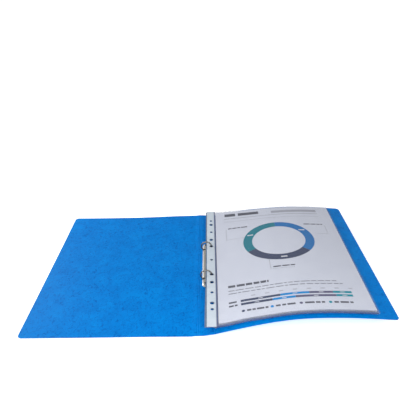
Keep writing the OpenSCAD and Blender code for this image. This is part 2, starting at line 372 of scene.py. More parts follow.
# The weld beside the strip is dark and nearly opaque: painted shade, for the shaded gap seen through the
# clear film.
FILM_WELD_SHADE = film_material("pocket_weld_painted_shade", (0.16, 0.19, 0.32), 0.72, 0.18, 0.34)
FILM_SEAM = film_material("pocket_seam", (0.16, 0.22, 0.42), 0.30, 0.14, 0.28)
TOP_STRIP = strip_material("punched_strip_top", (0.72, 0.80, 0.88), (0.64, 0.73, 0.82), 0.80)
# The lower strips are a darker copy of the same milky strip: painted shade, for the stack below the top
# strip and inside the holes.
SHADED_LOWER_STRIP = strip_material("punched_strip_lower_painted_shade", (0.21, 0.28, 0.40), (0.15, 0.21, 0.32), 0.80)
INKS = {
    "navy": ink_material("ink_navy", (0.055, 0.068, 0.125)),
    "blue": ink_material("ink_blue", (0.020, 0.180, 0.480)),
    "sky": ink_material("ink_sky", (0.005, 0.250, 0.640)),
    # teal and bar_teal are one ink: teal, used in the ring chart, is a darker copy with painted shade;
    # bar_teal is the ink as lit.
    "teal": ink_material("ink_teal_painted_shade", (0.015, 0.210, 0.270)),
    "bar_teal": ink_material("ink_bar_teal", (0.003, 0.275, 0.355)),
    "violet": ink_material("ink_violet", (0.120, 0.115, 0.200)),
    "text": ink_material("ink_text", (0.110, 0.112, 0.135)),
    "grey": ink_material("ink_grey", (0.250, 0.260, 0.300)),
    "faint": ink_material("ink_faint", (0.400, 0.410, 0.470)),
    "pale": ink_material("ink_pale", (0.640, 0.660, 0.720)),
}


# ---------------- mesh helpers
def shade_smooth(mesh, sharp_deg):
    """Smooth shading, but for edges sharper than an angle in degrees."""
    mesh.polygons.foreach_set("use_smooth", [True] * len(mesh.polygons))
    mesh.update()
    mesh.set_sharp_from_angle(angle=math.radians(sharp_deg))


def make_object(name, verts, faces, materials, face_slots=None, sharp_deg=35):
    """A mesh object from points in mm."""
    mesh = bpy.data.meshes.new(name)
    mesh.from_pydata([(x * MM, y * MM, z * MM) for x, y, z in verts], [], faces)
    for material in materials:
        mesh.materials.append(material)
    if face_slots:
        mesh.polygons.foreach_set("material_index", face_slots)
    shade_smooth(mesh, sharp_deg)
    obj = bpy.data.objects.new(name, mesh)
    bpy.context.scene.collection.objects.link(obj)
    return obj


def thin_solid(name, xs, half, rows, low, high, materials, bulge=0.0):
    """A closed thin sheet between two height functions. Its rim has a middle row, pushed out by
    bulge, and takes the second material."""
    n, across = len(xs), rows + 1
    verts, faces, slots = [], [], []
    places = [[(x, half(x) * (2 * j / rows - 1)) for j in range(across)] for x in xs]
    for height in (high, low):
        for row in places:
            verts += [(x, y, height(x, y)) for x, y in row]
    top = lambda i, j: i * across + j
    bottom = lambda i, j: n * across + i * across + j
    for i in range(n - 1):
        for j in range(rows):
            faces.append((top(i, j), top(i + 1, j), top(i + 1, j + 1), top(i, j + 1)))
            faces.append((bottom(i, j), bottom(i, j + 1), bottom(i + 1, j + 1), bottom(i + 1, j)))
            slots += [0, 0]
    rim = [(i, 0) for i in range(n)] + [(n - 1, j) for j in range(1, across)]
    rim += [(i, rows) for i in range(n - 2, -1, -1)] + [(0, j) for j in range(rows - 1, 0, -1)]
    middle = len(verts)
    for q, (i, j) in enumerate(rim):
        a, b = rim[q - 1], rim[(q + 1) % len(rim)]
        (ax, ay), (bx, by) = places[a[0]][a[1]], places[b[0]][b[1]]
        x, y = places[i][j]
        along = Vector((bx - ax, by - ay))
        out = Vector((along.y, -along.x)).normalized() * bulge if along.length else Vector((0, 0))
        verts.append((x + out.x, y + out.y, (high(x, y) + low(x, y)) / 2))
    for q, a in enumerate(rim):
        r = (q + 1) % len(rim)
        b = rim[r]
        faces.append((bottom(*a), bottom(*b), middle + r, middle + q))
        faces.append((middle + q, middle + r, top(*b), top(*a)))
        slots += [1, 1]
    return make_object(name, verts, faces, materials, slots)


def spread(a, b, step):
    """Evenly spaced values from a to b, about step apart."""
    cells = max(1, round(abs(b - a) / step))
    return [a + (b - a) * i / cells for i in range(cells + 1)]


# ---------------- the board: covers, creases and spine
SCORES = (-12.3, -9.9, 10.3, 12.7)
SCORE_HALF_W = 0.9
SCORE_DEPTH = 0.34
FOOT_CURL = 3.2
HEAD_CURL = 1.2
LEFT_HEAD_CURL = 3.3
BACK_WAVE = 0.35
BACK_SEED = 3.1
FRONT_WAVE = 0.9
FRONT_SEED = 7.7
BOARD_ROWS = 96
RIM_BULGE = 0.12


def score_press(x):
    """How far the score lines press the board down at x, on both of its faces."""
    shares = [min(1.0, abs(x - s) / SCORE_HALF_W) for s in SCORES]
    return sum(SCORE_DEPTH * math.cos(share * math.pi / 2) ** 2 for share in shares)


def free_end_lift(x, y):
    """How far the ends of the board beside the spine curl up, on the right and at the left's head."""
    foot = FOOT_CURL * grow(-y, 66, 88)
    head = HEAD_CURL * grow(y, 66, 88)
    rise = grow(x, -7, 24)
    fall = 1 - grow(x, 24, 140)
    left = LEFT_HEAD_CURL * grow(y, 55, 100) * grow(x, -150, 135) * (1 - grow(x, -12, 30))
    return (foot + head) * rise * fall + left


def board_low(x, y):
    """Underside of the board, with its unevenness, its lifted ends and its score lines."""
    if x > CREASE_X:
        wave = BACK_WAVE * (slow_wave(x, y, BACK_SEED) - 0.5) * grow(x, CREASE_X, 40)
        low = back_low(x, y) + wave
    else:
        wave = FRONT_WAVE * slow_wave(x, y, FRONT_SEED) * grow(-x - CREASE_X, RAMP_LENGTH, 60)
        low = SPINE_Z * (1 - grow(-x, CREASE_X, RAMP_LENGTH)) + wave * grow(abs(y), 60, 95)
    return low + free_end_lift(x, y) - score_press(x)


def board_high(x, y):
    """Upper side of the board."""
    return board_low(x, y) + BOARD_T


def board_stations(side):
    """Cross sections from the spine's middle to the fore edge, close together at the score lines."""
    fine = spread(0, 8.5, 1.2)[:-1] + spread(8.5, 14.5, 0.25)[:-1] + spread(14.5, 26, 1.5)[:-1]
    plain = spread(26, FORE_X - CORNER_R, 3.5)[:-1]
    corner = [FORE_X - CORNER_R + CORNER_R * math.sin(math.pi / 2 * k / 8) for k in range(9)]
    return [side * x for x in fine + plain + corner]


def build_board():
    """The folded board: two halves that meet at the middle of the spine, each bending at its crease."""
    front = thin_solid("board_front", board_stations(-1)[::-1], cover_half, BOARD_ROWS, board_low,
                       board_high, [BOARD, BOARD_EDGE], bulge=RIM_BULGE)
    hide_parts("front_cover", "spine_panel")
    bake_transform(front)
    back = thin_solid("board_back", board_stations(1), cover_half, BOARD_ROWS, board_low,
                      board_high, [BOARD, BOARD_EDGE], bulge=RIM_BULGE)
    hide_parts("back_cover", "spine_panel")
    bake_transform(back)


# ---------------- pockets, strips and sheets
SAG_MIDDLE = 2.4
SAG_FOOT = 1.1
SAG_HEAD = -1.5
CLEAR, WELDED, SEAM = 0, 1, 2


def stack_sag(x, y):
    """How far the strips hang below their place in the CAD. At the head end they stand above it."""
    near = 1 - grow(x, 14, 50)
    middle = SAG_MIDDLE * math.exp(-((y - 30) / 75) ** 2)
    foot = SAG_FOOT * grow(-y, 30, 124)
    head = SAG_HEAD * grow(y, 60, 94)
    return (middle + foot + head) * near


def pocket_base(k, x, y):
    """Underside of pocket k as it really lies, with the slackness of film."""
    sag = 0.30 * (slow_wave(x, y, 11.3 + k) - 0.5) * grow(x, film_x(k), 50)
    sag += 0.5 * (slow_wave(x * 2, y * 2, 21) - 0.5)
    low = pocket_low(k, x, y) if x > film_x(k) else STACK_LOW_Z + POCKET_PITCH * k
    low -= FOOT_SQUEEZE * k * grow(-y, 125, 29)
    return low - stack_sag(x, y) + sag + 0.8 * free_end_lift(x, y) * grow(x, 20, 40)


def film_gap(k, x, y):
    """Half the distance between a pocket's films: shut at the welds, open at the mouth."""
    left = grow(x - film_x(k), WELD_FLAT, WELD_RISE)
    right = grow(film_end(k) - x, WELD_FLAT, WELD_RISE)
    foot = grow(y + POCKET_HALF_L, WELD_FLAT, WELD_RISE)
    return WELD_HALF_T + (POCKET_T / 2 - WELD_HALF_T) * min(left, right, foot)


def film_stations(k):
    """Places across pocket k, close together at its side welds."""
    start, end = film_x(k), film_end(k)
    right = [end - e for e in reversed(WELD_STEPS)]
    return [start + e for e in WELD_STEPS] + spread(start + 6, end - 6, 6) + right


def film_rows(k):
    """Rows along pocket k: the lower pockets of the stack end a little short of the top one."""
    foot = -POCKET_HALF_L + FOOT_STAGGER * (POCKETS - 1 - k)
    return [foot + e for e in WELD_STEPS] + spread(foot + 9, POCKET_HALF_L, 6.5)


class Film:
    """One closed skin of film: an envelope with a cavity between its welds, open at the head end."""

    def __init__(self, k):
        self.k = k
        self.xs, self.ys = film_stations(k), film_rows(k)
        self.columns, self.rows = len(self.xs) - 1, len(self.ys) - 1
        self.first, self.last, self.foot = WELD_CELLS, self.columns - WELD_CELLS, WELD_CELLS
        self.verts, self.faces, self.slots, self.lookup = [], [], [], {}
        self.add_skins()
        self.add_sides()
        self.add_mouth()

    def point(self, i, j, level):
        """level: 2 and -2 are the outsides, 1 and -1 the insides, which meet where the weld ends."""
        if abs(level) == 1 and (i in (self.first, self.last) or j == self.foot):
            level = 0
        key = (i, j, level)
        if key not in self.lookup:
            x, y = self.xs[i], self.ys[j]
            half = film_gap(self.k, x, y) - (FILM_T if abs(level) == 1 else 0)
            z = pocket_base(self.k, x, y) + POCKET_T / 2 + half * (level > 0) - half * (level < 0)
            self.lookup[key] = len(self.verts)
            self.verts.append((x, y, z))
        return self.lookup[key]

    def face(self, slot, *corners):
        """A face between points, with the number of its material."""
        self.faces.append(tuple(self.point(*c) for c in corners))
        self.slots.append(slot)

    def lining(self, i, j, level):
        """A cell of the cavity's skin, split in the foot corners so that it doesn't close on itself."""
        a, b, c, d = (i, j, level), (i, j + 1, level), (i + 1, j + 1, level), (i + 1, j, level)
        cells = [(a, b, c, d)]
        if j == self.foot and i == self.first:
            cells = [(a, b, c), (a, c, d)]
        elif j == self.foot and i == self.last - 1:
            cells = [(a, b, d), (b, c, d)]
        for cell in cells:
            self.face(CLEAR, *(cell if level > 0 else cell[::-1]))

    def add_skins(self):
        """The two outsides, the cavity between them, and the rim at the foot."""
        for i in range(self.columns):
            for j in range(self.rows):
                # The weld beside the strip takes the dark weld material, whose colour is painted shade.
                slot = WELDED if i < self.first else SEAM if j < self.foot and i < self.last else CLEAR
                self.face(slot, (i, j, 2), (i + 1, j, 2), (i + 1, j + 1, 2), (i, j + 1, 2))
                self.face(slot, (i, j, -2), (i, j + 1, -2), (i + 1, j + 1, -2), (i + 1, j, -2))
                if self.first <= i < self.last and j >= self.foot:
                    self.lining(i, j, 1)
                    self.lining(i, j, -1)
            self.face(SEAM, (i, 0, -2), (i + 1, 0, -2), (i + 1, 0, 2), (i, 0, 2))

    def add_sides(self):
        """The rims along both sides."""
        n = self.columns
        for j in range(self.rows):
            self.face(WELDED, (0, j + 1, -2), (0, j, -2), (0, j, 2), (0, j + 1, 2))
            self.face(CLEAR, (n, j, -2), (n, j + 1, -2), (n, j + 1, 2), (n, j, 2))

    def add_mouth(self):
        """The head end: two thin edges where it is open, and one edge at each weld."""
        m, first, last = self.rows, self.first, self.last
        for i in range(self.columns):
            if first <= i < last:
                self.face(CLEAR, (i, m, 2), (i + 1, m, 2), (i + 1, m, 1), (i, m, 1))
                self.face(CLEAR, (i, m, -1), (i + 1, m, -1), (i + 1, m, -2), (i, m, -2))
            elif i == first - 1:
                self.face(WELDED, (i, m, 2), (first, m, 2), (first, m, 0), (first, m, -2), (i, m, -2))
            elif i == last:
                self.face(CLEAR, (last, m, 2), (i + 1, m, 2), (i + 1, m, -2), (last, m, -2), (last, m, 0))
            else:
                self.face(WELDED, (i, m, 2), (i + 1, m, 2), (i + 1, m, -2), (i, m, -2))


def build_film(k):
    """Pocket k's envelope."""
    skin = Film(k)
    film = make_object(f"pocket_film_{k + 1}", skin.verts, skin.faces, [FILM, FILM_WELD_SHADE, FILM_SEAM],
                       skin.slots, sharp_deg=50)
    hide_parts(f"pocket_{k + 1}")
    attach(film, "pages")


def sheet_low(k, x, y):
    """Underside of the sheet in pocket k, halfway up the pocket."""
    return pocket_base(k, x, y) + (POCKET_T - PAPER_T) / 2


def sheet_left(k):
    """The left edge of the sheet in pocket k."""
    return film_x(k) + WELD + 1


def build_sheet(k):
    """The A4 sheet in pocket k."""
    start = sheet_left(k)
    sheet = thin_solid(f"a4_sheet_{k + 1}", spread(start, start + SHEET_W, 5), lambda x: SHEET_L / 2,
                       SHEET_ROWS, lambda x, y: sheet_low(k, x, y),
                       lambda x, y: sheet_low(k, x, y) + PAPER_T, [PAPER, PAPER])
    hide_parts(f"sheet_{k + 1}")
    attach(sheet, "pages")


STRIP_COLUMNS = 8
PATCH_HALF = 5.0
PATCH_SIDE = 4 * STRIP_COLUMNS
HOLE_RIM = ((0.0, 0.05), (0.25, 0.10), (0.7, 0.03), (1.1, 0.0))
FAN_FOOT = 0.4
FAN_REACH = 3.4
EDGE_ROLL = 0.18
PRESSED_WIDTH = 4.5


def strip_holes():
    """The places of the holes along a strip, from the foot to the head."""
    return sorted({side * y for y in LARGE_HOLES + SMALL_HOLES for side in (-1, 1)})


class Strip:
    """A strip seen from above: a square patch round each hole, with a raised rim, and plain cells."""

    def __init__(self, k):
        self.k = k
        self.centre = HOLE_X + HOLE_SHIFT * k
        self.left = self.centre - HOLE_TO_EDGE
        self.right = self.left + STRIP_WIDTH
        width = self.right - self.left
        self.cols = [self.left + width * c / STRIP_COLUMNS for c in range(STRIP_COLUMNS + 1)]
        self.flat, self.quads, self.lookup = [], [], {}
        self.add_all()

    def point(self, x, y, rim=0.0):
        """The number of the point at a place, which is made if it isn't there. Rim is its height."""
        key = (round(x, 4), round(y, 4))
        if key not in self.lookup:
            self.lookup[key] = len(self.flat)
            self.flat.append((x, y, rim))
        return self.lookup[key]

    def add_cells(self, y0, y1):
        """Plain cells across the whole strip from y0 to y1."""
        rows = spread(y0, y1, 4)
        for a, b in zip(rows, rows[1:]):
            for x0, x1 in zip(self.cols, self.cols[1:]):
                corners = (x0, a), (x1, a), (x1, b), (x0, b)
                self.quads.append([self.point(*corner) for corner in corners])

    def outline(self, hole, q):
        """Point q of a patch's outline, anticlockwise from its lower left corner."""
        edge, step = divmod(q % PATCH_SIDE, STRIP_COLUMNS)
        rise = 2 * PATCH_HALF * step / STRIP_COLUMNS
        return [(self.cols[step], hole - PATCH_HALF), (self.right, hole - PATCH_HALF + rise),
                (self.cols[STRIP_COLUMNS - step], hole + PATCH_HALF),
                (self.left, hole + PATCH_HALF - rise)][edge]

    def spoke(self, hole, q):
        """The points from a hole's edge out to point q of its patch's outline."""
        bx, by = self.outline(hole, q)
        angle = math.atan2(by - hole, bx - self.centre)
        radius = LARGE_HOLE_R if abs(hole) in LARGE_HOLES else SMALL_HOLE_R
        points = []
        for out, rim in HOLE_RIM:
            r = radius + out
            points.append(self.point(self.centre + r * math.cos(angle), hole + r * math.sin(angle), rim))
        return points + [self.point(bx, by)]

    def add_patch(self, hole):
        """The cells round one hole."""
        for q in range(PATCH_SIDE):
            here, there = self.spoke(hole, q), self.spoke(hole, q + 1)
            for a in range(len(HOLE_RIM)):
                self.quads.append([here[a + 1], there[a + 1], there[a], here[a]])

    def add_all(self):
        """The whole strip, from its foot end to its head end."""
        y = -POCKET_HALF_L
        for hole in strip_holes():
            self.add_cells(y, hole - PATCH_HALF)
            self.add_patch(hole)
            y = hole + PATCH_HALF
        self.add_cells(y, POCKET_HALF_L)

    def height(self, x, y):
        """Underside of the strip: its edges roll down, and the left ones are pressed together."""
        share = (x - self.left) / (self.right - self.left)
        edge_roll = -EDGE_ROLL * (2 * share - 1) ** 6
        above = POCKETS - 1 - self.k
        pressed = (POCKET_PITCH - STRIP_PITCH) * above * ease((self.right - x) / PRESSED_WIDTH)
        return pocket_base(self.k, x, y) + (POCKET_T - STRIP_T) / 2 + edge_roll + pressed

    def fanned(self, x, y):
        """The lower strips stick out further to the left, most at their foot end."""
        reach = STRIP_FAN * (POCKETS - 1 - self.k) * (1 - FAN_FOOT + FAN_FOOT * grow(-y, 35, 110))
        return x - reach * grow(self.centre - x, FAN_REACH, HOLE_TO_EDGE - FAN_REACH)

    def solid(self):
        """The strip's points and faces: its upper side, its underside and the walls of all its edges."""
        verts = [(self.fanned(x, y), y, self.height(x, y) + STRIP_T + rim) for x, y, rim in self.flat]
        verts += [(self.fanned(x, y), y, self.height(x, y) - 0.4 * rim) for x, y, rim in self.flat]
        count = len(self.flat)
        faces = [tuple(q) for q in self.quads]
        faces += [tuple(i + count for i in reversed(q)) for q in self.quads]
        edges = [edge for q in self.quads for edge in zip(q, q[1:] + q[:1])]
        shared = set(edges)
        faces += [(b, a, a + count, b + count) for a, b in edges if (b, a) not in shared]
        return verts, faces


def build_strip(k):
    """The punched strip of pocket k."""
    # The lower strips take the darker copy, whose colour is painted shade.
    material = TOP_STRIP if k == POCKETS - 1 else SHADED_LOWER_STRIP
    strip = make_object(f"punched_strip_{k + 1}", *Strip(k).solid(), [material])
    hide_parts(f"strip_{k + 1}")
    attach(strip, "pages")


# ---------------- the print on the top sheet
PAGE_K = POCKETS - 1
INK_LIFT = 0.045
INK_T = 0.012
LABEL_LIFT = 0.02
HAIRLINE = 0.1
SHORTEST_WORD = 2
WORD_LENGTHS = (4, 13)
WORD_GAPS = (1.4, 2.2)


class Print:
    """Marks on the page, as thin solids just above it. Places are mm from its lower left corner."""

    def __init__(self):
        self.verts, self.faces, self.slots = [], [], []
        self.names = list(INKS)

    def patch(self, ink, grid, lift=0.0):
        """One mark: grid is rows of (x, y) page places, and lift sets it above the marks round it."""
        base, rows, cols = len(self.verts), len(grid), len(grid[0])
        for level in (INK_T, 0.0):
            for row in grid:
                for px, py in row:
                    x, y = sheet_left(PAGE_K) + px, py - SHEET_L / 2
                    paper = sheet_low(PAGE_K, x, y) + PAPER_T
                    self.verts.append((x, y, paper + INK_LIFT + lift + level))
        top = lambda i, j: base + i * cols + j
        low = lambda i, j: base + rows * cols + i * cols + j
        made = []
        for i in range(rows - 1):
            for j in range(cols - 1):
                made.append((top(i, j), top(i, j + 1), top(i + 1, j + 1), top(i + 1, j)))
                made.append((low(i, j), low(i + 1, j), low(i + 1, j + 1), low(i, j + 1)))
        for j in range(cols - 1):
            made.append((low(0, j), low(0, j + 1), top(0, j + 1), top(0, j)))
            made.append((low(rows - 1, j + 1), low(rows - 1, j), top(rows - 1, j), top(rows - 1, j + 1)))
        for i in range(rows - 1):
            made.append((low(i + 1, 0), low(i, 0), top(i, 0), top(i + 1, 0)))
            made.append((low(i, cols - 1), low(i + 1, cols - 1), top(i + 1, cols - 1), top(i, cols - 1)))
        self.faces += made
        self.slots += [self.names.index(ink)] * len(made)

    def box(self, ink, x0, y0, x1, y1, lift=0.0):
        """A bar between two corners."""
        xs, ys = spread(x0, x1, 5), spread(y0, y1, 5)
        self.patch(ink, [[(x, y) for x in xs] for y in ys], lift)

    def arc(self, ink, cx, cy, inner, outer, start, end):
        """A piece of a ring between two angles in degrees."""
        steps = max(2, round((end - start) / 3))
        angles = [math.radians(start + (end - start) * i / steps) for i in range(steps + 1)]
        radii = spread(inner, outer, 4)
        self.patch(ink, [[(cx + r * math.cos(a), cy + r * math.sin(a)) for r in radii] for a in angles])

    def dots(self, ink, x0, y0, x1, y1, size, gap):
        """A dotted line."""
        length = math.hypot(x1 - x0, y1 - y0)
        count = int(length / gap)
        for i in range(count + 1):
            x, y = x0 + (x1 - x0) * i / count, y0 + (y1 - y0) * i / count
            self.box(ink, x - size / 2, y - size / 2, x + size / 2, y + size / 2)

    def words(self, ink, x0, x1, y, height, rng):
        """A line of text as a row of small blocks of word length."""
        x = x0
        while x < x1 - SHORTEST_WORD:
            width = min(rng.uniform(*WORD_LENGTHS), x1 - x)
            self.box(ink, x, y, x + width, y + height)
            x += width + rng.uniform(*WORD_GAPS)

    def disc(self, ink, cx, cy, r):
        """A round dot: a square grid drawn out to a circle."""
        steps = [i / 3 - 1 for i in range(7)]
        self.patch(ink, [[(cx + r * u * math.sqrt(1 - v * v / 2), cy + r * v * math.sqrt(1 - u * u / 2))
                          for u in steps] for v in steps])

    def build(self):
        """Makes all the marks one object."""
        inks = [INKS[name] for name in self.names]
        marks = make_object("printed_marks", self.verts, self.faces, inks, self.slots)
        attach(marks, "pages")


CHART = (104.5, 182)
CHART_OUTER = 59
CHART_INNER = 44
CHART_PARTS = (("teal", 90, 206, 152), ("navy", 206, 321, 272), ("blue", 321, 450, 33))
LEADER_LABELS = ((22, 56, 235, 18, 202), (155, 188, 229, 191, 198), (86, 119, 104, 82, 126))
BAR_ROWS = ((34.0, (31.8, 87, 127, 160, 186)), (26.6, (31.8, 75.5, 107, 163, 186)))
LEGEND = (("navy", 34), ("sky", 73), ("violet", 112), ("bar_teal", 151.5))
DOT_SIZE = 1.1


def print_heading(page):
    """Two title blocks, a faint one, a rule and a dotted line."""
    page.box("text", 17, 278.5, 37, 288)
    page.box("text", 42, 278.5, 80, 288)
    page.box("faint", 104, 277.5, 187, 286)
    page.box("grey", 15.5, 270.3, 187, 271.3)
    page.dots("grey", 17, 260, 186, 260, DOT_SIZE, 2.6)


def print_chart(page, rng):
    """A ring in three parts, with a pale label on each and three captions on dotted leaders."""
    middle = (CHART_INNER + CHART_OUTER) / 2
    for ink, start, end, label in CHART_PARTS:
        page.arc(ink, *CHART, CHART_INNER, CHART_OUTER, start, end - HAIRLINE)
        angle = math.radians(label)
        cx, cy = CHART[0] + middle * math.cos(angle), CHART[1] + middle * math.sin(angle)
        page.box("pale", cx - 5, cy - 1.6, cx + 5, cy + 1.6, lift=LABEL_LIFT)
    for x0, x1, y, tick_x, tick_end in LEADER_LABELS:
        page.words("text", x0, x1, y, 3.0, rng)
        page.dots("text", tick_x, tick_end, tick_x, y - 3, DOT_SIZE, 3.0)
    page.dots("text", 20, 202, 46, 202, DOT_SIZE, 3.0)
    page.dots("text", 172, 198, 188, 198, DOT_SIZE, 3.0)
    page.dots("text", 86, 100, 117, 100, DOT_SIZE, 3.0)


def print_text(page, rng):
    """A subheading, two lines of small text and the scale above the bars."""
    page.words("text", 15.5, 75, 70.0, 5.2, rng)
    page.words("grey", 15.5, 172, 61.5, 1.8, rng)
    page.words("grey", 15.5, 181, 55.0, 1.8, rng)
    for i in range(8):
        left = 47 + 19.5 * i
        page.box("faint", left, 44.2, left + 6, 46.0)


def print_bars(page, rng):
    """Two bars in four colours, each part with a pale label, and the legend below them."""
    for y, stops in BAR_ROWS:
        for (ink, _), a, b in zip(LEGEND, stops, stops[1:]):
            page.box(ink, a, y, b - HAIRLINE, y + 4.6)
            page.box("pale", (a + b) / 2 - 3.2, y + 1.6, (a + b) / 2 + 3.2, y + 3.0, lift=LABEL_LIFT)
        page.words("text", 15, 27, y + 0.6, 3.4, rng)
    for ink, x in LEGEND:
        page.disc(ink, x, 14.5, 2.3)
        page.words("text", x + 5, x + 34, 12.8, 3.4, rng)


def build_print():
    """The page's layout. Every word of the original is a plain block, and the ring's middle is empty."""
    rng = random.Random(4)
    page = Print()
    print_heading(page)
    print_chart(page, rng)
    print_text(page, rng)
    print_bars(page, rng)
    page.build()


# ---------------- the ring mechanism
def apply_modifiers(obj):
    """Replaces an object's mesh by the mesh its modifiers make."""
    bpy.context.view_layer.update()
    evaluated = obj.evaluated_get(bpy.context.evaluated_depsgraph_get())
    mesh = bpy.data.meshes.new_from_object(evaluated)
    obj.modifiers.clear()
    obj.data = mesh


def cutter_box(low, high):
    """A box between two corners."""
    bm = bmesh.new()
    bmesh.ops.create_cube(bm, size=1)
    for v in bm.verts:
        shares = [c + 0.5 for c in v.co]
        v.co = Vector([a + share * (b - a) for a, b, share in zip(low, high, shares)]) * MM
    return bm


def cutter_rod(y, r):
    """An upright rod at y on the spine's middle."""
    bm = bmesh.new()
    bmesh.ops.create_cone(bm, cap_ends=True, segments=48, radius1=r * MM, radius2=r * MM, depth=20 * MM,
                          matrix=Matrix.Translation((0, y * MM, 0)))
    return bm


def cut(obj, bm):
    """Takes a cutter's space out of an object."""
    mesh = bpy.data.meshes.new("cutter")
    bm.to_mesh(mesh)
    bm.free()
    cutter = bpy.data.objects.new("cutter", mesh)
    bpy.context.scene.collection.objects.link(cutter)
    boolean = obj.modifiers.new("cut", "BOOLEAN")
    boolean.operation = "DIFFERENCE"
    boolean.solver = "EXACT"
    boolean.object = cutter
    apply_modifiers(obj)
    bpy.data.objects.remove(cutter)


HOUSING_TAPER = 8
END_NARROWING = 0.93
END_DROP = 1.3
HOUSING_STEPS = 24
RING_SLOT_X = (1.6, 9.0)
RING_SLOT_Z = (3.4, 9)
RING_SLOT_HALF = 1.6
RIVET_HOLE_R = 2.65


def housing_point(t, y, shrink):
    """A point of the housing's outside at share t across (-1 to 1), moved in by shrink."""
    end = max(0.0, (abs(y) - (HOUSING_HALF_L - HOUSING_TAPER)) / HOUSING_TAPER)
    narrow = math.sqrt(max(0.0, 1 - (END_NARROWING * end) ** 3))
    half = HOUSING_HALF_W * narrow - shrink
    crown = HOUSING_TOP - END_DROP * ease(end) - shrink
    angle = t * math.pi / 2
    x = half * math.copysign(abs(math.sin(angle)) ** 0.72, t)
    z = SPINE_TOP + (crown - SPINE_TOP) * abs(math.cos(angle)) ** 0.5
    return x, z


def housing_rows():
    """Places along the housing, close together at its ends."""
    plain = HOUSING_HALF_L - 10
    return (spread(-HOUSING_HALF_L, -plain, 0.8)[:-1] + spread(-plain, plain, 4)[:-1]
            + spread(plain, HOUSING_HALF_L, 0.8))


def housing_shell():
    """The uncut channel: an outer and an inner skin, joined along both sides and at both ends."""
    ys, steps = housing_rows(), HOUSING_STEPS
    verts, faces = [], []
    for shrink in (0.0, HOUSING_T):
        for y in ys:
            inner_y = max(-HOUSING_HALF_L + shrink, min(HOUSING_HALF_L - shrink, y))
            for s in range(steps + 1):
                x, z = housing_point(2 * s / steps - 1, y, shrink)
                verts.append((x, inner_y, z))
    n, across = len(ys), steps + 1
    outer = lambda i, s: i * across + s
    inner = lambda i, s: n * across + i * across + s
    for i in range(n - 1):
        for s in range(steps):
            faces.append((outer(i, s), outer(i, s + 1), outer(i + 1, s + 1), outer(i + 1, s)))
            faces.append((inner(i, s), inner(i + 1, s), inner(i + 1, s + 1), inner(i, s + 1)))
        faces.append((outer(i, 0), outer(i + 1, 0), inner(i + 1, 0), inner(i, 0)))
        faces.append((outer(i + 1, steps), outer(i, steps), inner(i, steps), inner(i + 1, steps)))
    for s in range(steps):
        faces.append((outer(0, s + 1), outer(0, s), inner(0, s), inner(0, s + 1)))
        faces.append((outer(n - 1, s), outer(n - 1, s + 1), inner(n - 1, s + 1), inner(n - 1, s)))
    return verts, faces


def build_housing():
    """The arched channel, with rounded ends, ring slots, rivet holes and softened edges."""
    housing = make_object("ring_housing_shell", *housing_shell(), [HOUSING_STEEL])
    for end in (-1, 1):
        for hand in (-1, 1):
            near, far = sorted(hand * x for x in RING_SLOT_X)
            cut(housing, cutter_box((near, end * RING_Y - RING_SLOT_HALF, RING_SLOT_Z[0]),
                                    (far, end * RING_Y + RING_SLOT_HALF, RING_SLOT_Z[1])))
        cut(housing, cutter_rod(end * RIVET_Y, RIVET_HOLE_R))
    bevel = housing.modifiers.new("edges", "BEVEL")
    bevel.width = 0.12 * MM
    bevel.segments = 2
    bevel.limit_method = "ANGLE"
    bevel.angle_limit = math.radians(40)
    apply_modifiers(housing)
    shade_smooth(housing.data, 40)
    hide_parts("ring_housing")
    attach(housing, "spine")


def lathe(name, profile, segments, material, centre):
    """A closed profile of (radius, z) turned round a vertical axis."""
    verts, faces = [], []
    for s in range(segments):
        a = 2 * math.pi * s / segments
        verts += [(centre[0] + r * math.cos(a), centre[1] + r * math.sin(a), z) for r, z in profile]
    count = len(profile)
    for s in range(segments):
        t = (s + 1) % segments
        for p in range(count):
            q = (p + 1) % count
            faces.append((s * count + p, t * count + p, t * count + q, s * count + q))
    return make_object(name, verts, faces, [material], sharp_deg=60)


def arc_points(cx, cz, r, start, end, steps):
    """Points along an arc between two angles in degrees."""
    angles = [math.radians(start + (end - start) * i / steps) for i in range(steps + 1)]
    return [(cx + r * math.cos(a), cz + r * math.sin(a)) for a in angles]


def build_rivet(name, side):
    """A hollow rivet: a rounded head under the spine and a rolled rim on the housing."""
    top = HOUSING_TOP - 0.12
    profile = arc_points(2.35, 0.45, 0.45, 180, 250, 5)
    profile += [(3.0, 0.0)]
    profile += arc_points(3.45, 0.5, 0.5, -80, 60, 8)
    profile += [(2.62, 1.0), (2.6, top)]
    profile += arc_points(2.95, top + 0.38, 0.34, -90, 120, 8)
    profile += [(2.2, top + 0.45), (1.9, top + 0.1)]
    rivet = lathe(f"hollow_{name}", profile, 48, SHADED_RIVET_NICKEL, (0, side * RIVET_Y))
    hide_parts(name)
    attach(rivet, "spine")


STAKE_X = 3.3
STAKE_Z = 2.05
RING_CORNER = 0.55
RING_STEPS = 56
RING_TOP_DEG = 89.85
TIP_LENGTH = 0.14
TIP_ROUND = 0.10
WIRE_SIDES = 24


def ring_path():
    """A half ring's centre line in x and z, from its stake round to its tip, and its radii."""
    arc_start = -math.degrees(math.acos(STAKE_X / RING_R))
    corner = math.radians(arc_start)
    corner_x, corner_z = RING_R * math.cos(corner), RING_Z + RING_R * math.sin(corner)
    path = [(STAKE_X, STAKE_Z), (corner_x, corner_z - RING_CORNER)]
    first = arc_start + 4
    for i in range(RING_STEPS + 1):
        angle = math.radians(first + (RING_TOP_DEG - first) * i / RING_STEPS)
        path.append((RING_R * math.cos(angle), RING_Z + RING_R * math.sin(angle)))
    tip_x, tip_z = path.pop()
    path += [(tip_x + TIP_LENGTH, tip_z), (tip_x, tip_z)]
    return path, [WIRE_R] * (len(path) - 1) + [WIRE_R - TIP_ROUND]


